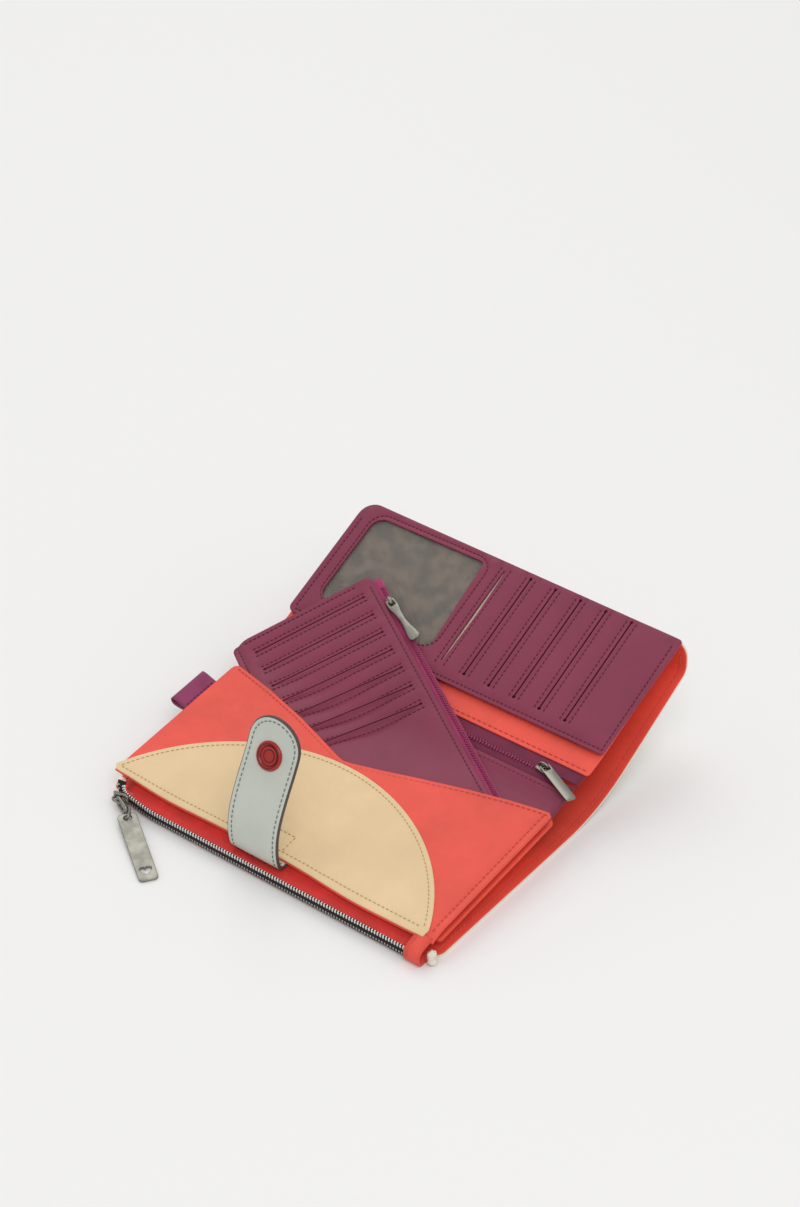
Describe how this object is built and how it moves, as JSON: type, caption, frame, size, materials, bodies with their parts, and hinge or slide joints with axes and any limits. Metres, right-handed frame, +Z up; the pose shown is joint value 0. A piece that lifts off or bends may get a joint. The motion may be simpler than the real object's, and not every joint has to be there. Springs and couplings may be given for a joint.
{
  "type": "wallet",
  "caption": "Long leather wallet lying open: cover that folds over, zip pocket, V pocket leaf with a snap strap, card page, coin zip and a separate card holder",
  "frame": {"origin": "on the table, below the middle of the zip edge", "axes": "X along the zip edge to its right end, Y from the zip edge towards the flap, Z up"},
  "size_m": [0.2031, 0.2398, 0.0777],
  "materials": {
    "cream_leather": "matte grained",
    "coral_lining": "smooth matt",
    "coral_leather": "fine grained",
    "beige_leather": "fine grained",
    "purple_leather": "semi gloss",
    "strap_leather": "semi gloss",
    "red_tape": "woven",
    "magenta_tape": "woven",
    "magenta_coil": "satin",
    "zip_metal": "satin",
    "snap_steel": "brushed",
    "snap_paint": "satin lacquer",
    "clear_film": "clear plastic film",
    "brown_lining": "smooth",
    "cream_lining": "smooth"
  },
  "bodies": {
    "cover_front": {"cover_front_shell": "cream_leather", "cover_front_lining": "coral_lining", "main_zip_tape_upper": "red_tape", "main_zip_tape_lower": "red_tape", "main_zip_teeth_upper": "zip_metal", "main_zip_teeth_lower": "zip_metal", "zip_end_tab_left": "coral_leather", "zip_end_tab_right": "coral_leather"},
    "spine": {"cover_spine_shell": "cream_leather", "cover_spine_lining": "coral_lining"},
    "flap": {"cover_flap_shell": "cream_leather", "cover_flap_lining": "coral_lining", "snap_stud": "snap_steel"},
    "pocket_leaf": {"front_pocket": "coral_leather", "half_round_patch": "beige_leather", "pocket_back": "purple_leather", "main_zip_bag": "coral_lining", "coin_bag": "coral_lining", "side_label": "purple_leather", "strap_root": "strap_leather", "strap_curl": "strap_leather"},
    "card_page": {"slots_panel": "purple_leather", "window_film": "clear_film", "window_lining": "brown_lining", "card_slot_linings": "cream_lining", "page_backing": "coral_leather", "coin_panel": "purple_leather", "coin_zip_tape_near": "magenta_tape", "coin_zip_tape_far": "magenta_tape", "coin_zip_coil": "magenta_coil"},
    "strap_low": {"strap_lower": "strap_leather"},
    "strap_tip": {"strap_upper": "strap_leather", "snap_cap": "snap_paint", "snap_socket": "snap_steel"},
    "zip_runner": {"main_zip_slider": "zip_metal"},
    "bail": {"zip_bail": "zip_metal"},
    "link": {"zip_link": "zip_metal"},
    "tag": {"zip_tag": "zip_metal"},
    "coin_runner": {"coin_zip_slider": "zip_metal"},
    "coin_pull": {"coin_zip_puller": "zip_metal"},
    "holder": {"holder_front": "purple_leather", "holder_back": "purple_leather", "holder_slot_linings": "cream_lining", "holder_zip_tape": "magenta_tape", "holder_zip_coil": "magenta_coil"},
    "holder_runner": {"holder_zip_slider": "zip_metal"},
    "holder_pull": {"holder_zip_puller": "zip_metal"}
  },
  "joints": [
    {"name": "spine_fold", "type": "hinge", "parent": "cover_front", "child": "spine", "pos_m": [0, 0.094, 0.002], "axis": [1, 0, 0], "range_deg": [0, 78], "deforming": ["holder_front", "holder_back", "holder_slot_linings", "holder_zip_tape", "holder_zip_coil", "holder_zip_slider", "holder_zip_puller", "coin_panel", "coin_zip_tape_near", "coin_zip_tape_far", "coin_zip_coil", "coin_zip_slider", "coin_zip_puller"]},
    {"name": "flap_fold", "type": "hinge", "parent": "spine", "child": "flap", "pos_m": [0, 0.12, 0.00411], "axis": [1, 0, 0], "range_deg": [-20, 64], "deforming": ["holder_front", "holder_back", "holder_slot_linings", "holder_zip_tape", "holder_zip_coil", "holder_zip_slider", "holder_zip_puller", "coin_panel", "coin_zip_tape_near", "coin_zip_tape_far", "coin_zip_coil", "coin_zip_slider", "coin_zip_puller"]},
    {"name": "leaf_drop", "type": "hinge", "parent": "cover_front", "child": "pocket_leaf", "pos_m": [0, 0.001, 0.009], "axis": [1, 0, 0], "range_deg": [-6.3, 0.2], "deforming": ["holder_front", "holder_back", "holder_slot_linings", "holder_zip_tape", "holder_zip_coil", "holder_zip_slider", "holder_zip_puller", "coin_panel", "coin_zip_tape_near", "coin_zip_tape_far", "coin_zip_coil", "coin_zip_slider", "coin_zip_puller"]},
    {"name": "page_turn", "type": "hinge", "parent": "flap", "child": "card_page", "pos_m": [0, 0.1943, 0.0615], "axis": [1, 0, 0], "range_deg": [-2.4, 7.4], "deforming": ["holder_front", "holder_back", "holder_slot_linings", "holder_zip_tape", "holder_zip_coil", "holder_zip_slider", "holder_zip_puller", "coin_panel", "coin_zip_tape_near", "coin_zip_tape_far", "coin_zip_coil", "coin_zip_slider", "coin_zip_puller"]},
    {"name": "strap_root_bend", "type": "hinge", "parent": "pocket_leaf", "child": "strap_low", "pos_m": [-0.004, -0.00643, 0.01521], "axis": [1, 0, 0], "range_deg": [0, 104]},
    {"name": "strap_tip_bend", "type": "hinge", "parent": "strap_low", "child": "strap_tip", "pos_m": [-0.004, 0.00192, 0.03779], "axis": [1, 0, 0], "range_deg": [-95, 10]},
    {"name": "main_zip_slide", "type": "slide", "parent": "cover_front", "child": "zip_runner", "axis": [1, 0, 0], "range_m": [0, 0.158]},
    {"name": "bail_swing", "type": "hinge", "parent": "zip_runner", "child": "bail", "pos_m": [-0.084, -0.01265, 0.0056], "axis": [-0.3452, -0.9385, 0], "range_deg": [0, 30]},
    {"name": "link_swing", "type": "hinge", "parent": "bail", "child": "link", "pos_m": [-0.07503, -0.01384, 0.00464], "axis": [-0.9993, -0.038, 0], "range_deg": [0, 12]},
    {"name": "tag_swing", "type": "hinge", "parent": "link", "child": "tag", "pos_m": [-0.07425, -0.01568, 0.00349], "axis": [-0.8514, -0.5245, 0], "range_deg": [0, 20]},
    {"name": "coin_zip_slide", "type": "slide", "parent": "card_page", "child": "coin_runner", "axis": [1, 0, 0], "range_m": [-0.047, 0.004]},
    {"name": "coin_puller_swing", "type": "hinge", "parent": "coin_runner", "child": "coin_pull", "pos_m": [0.0758, 0.111, 0.0263], "axis": [-0.4226, -0.9063, 0], "range_deg": [0, 25]},
    {"name": "holder_slide", "type": "slide", "parent": "pocket_leaf", "child": "holder", "axis": [-0.8526, 0.4764, 0.2146], "range_m": [0, 0.13], "deforming": ["holder_front", "holder_back", "holder_slot_linings", "holder_zip_tape", "holder_zip_coil", "holder_zip_slider", "holder_zip_puller"]},
    {"name": "holder_zip_slide", "type": "slide", "parent": "holder", "child": "holder_runner", "axis": [0.8526, -0.4764, -0.2146], "range_m": [-0.006, 0.07]},
    {"name": "holder_puller_swing", "type": "hinge", "parent": "holder_runner", "child": "holder_pull", "pos_m": [-0.0455, 0.1483, 0.047], "axis": [-0.4755, -0.8022, -0.3611], "range_deg": [0, 25]}
  ],
  "couplings": [
    {"joint": "leaf_drop", "follows": "spine_fold", "ratio": -0.0738},
    {"joint": "page_turn", "follows": "flap_fold", "ratio": 0.1125}
  ]
}
